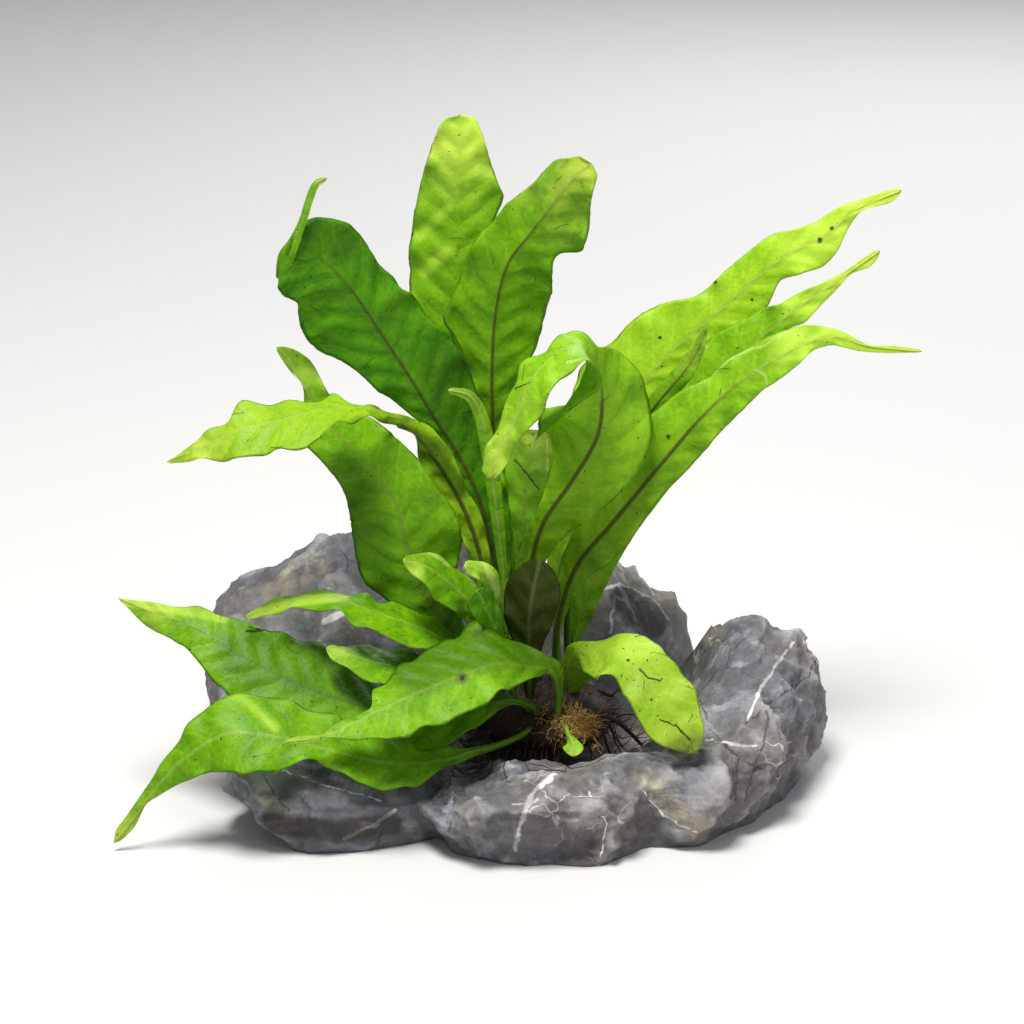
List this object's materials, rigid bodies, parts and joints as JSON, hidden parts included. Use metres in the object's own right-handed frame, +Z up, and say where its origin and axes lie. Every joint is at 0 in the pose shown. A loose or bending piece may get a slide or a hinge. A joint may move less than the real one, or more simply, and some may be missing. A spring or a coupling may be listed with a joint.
{
  "type": "java fern on stone",
  "caption": "Java fern: long strap leaves, some arching, rising on thin stalks from a dark rhizome that lies in the hollow of a craggy grey limestone with a flat base.",
  "frame": {"origin": "on the stone's flat base, near its middle, below the plant's crown", "axes": "+Z up out of the stone, -Y towards the plant's front, where its low leaves hang over the rim, +X to the right as seen from the front"},
  "size_m": [0.198, 0.1228, 0.165],
  "materials": {
    "stone": "rough grey limestone with white veins, brown cracks and pale stains",
    "rhizome": "dark brown, furry with fine roots",
    "leaf_bright": "thin leathery leaf, bright yellow-green, slightly glossy, lets light through",
    "leaf_fresh": "thin leathery leaf, fresh green, slightly glossy, lets light through",
    "leaf_deep": "thin leathery leaf, dark green, slightly glossy",
    "leaf_olive": "thin leathery leaf, olive-brown, wilted, lets light through"
  },
  "bodies": {
    "root": {"stone": "stone", "rhizome": "rhizome", "leaf_back_tall": "leaf_bright", "leaf_left_level": "leaf_bright", "leaf_right_upper": "leaf_bright", "leaf_right_long": "leaf_bright", "leaf_right_drooping": "leaf_bright", "leaf_front": "leaf_bright", "leaf_crown_folded": "leaf_bright", "leaf_base_round": "leaf_bright", "leaf_centre_upright": "leaf_fresh", "leaf_left_curved": "leaf_fresh", "leaf_slender": "leaf_fresh", "leaf_arched": "leaf_fresh", "leaf_centre_short": "leaf_fresh", "leaf_right_forked": "leaf_fresh", "leaf_low_left_broad": "leaf_fresh", "leaf_low_left_long": "leaf_fresh", "leaf_low_left_thin": "leaf_fresh", "leaf_low_left_folded": "leaf_fresh", "leaf_crown_pale_edge": "leaf_fresh", "leaf_left_broad": "leaf_deep", "leaf_right_narrow": "leaf_deep", "leaf_crown_small": "leaf_deep", "leaf_crown_brown": "leaf_olive"}
  },
  "joints": []
}
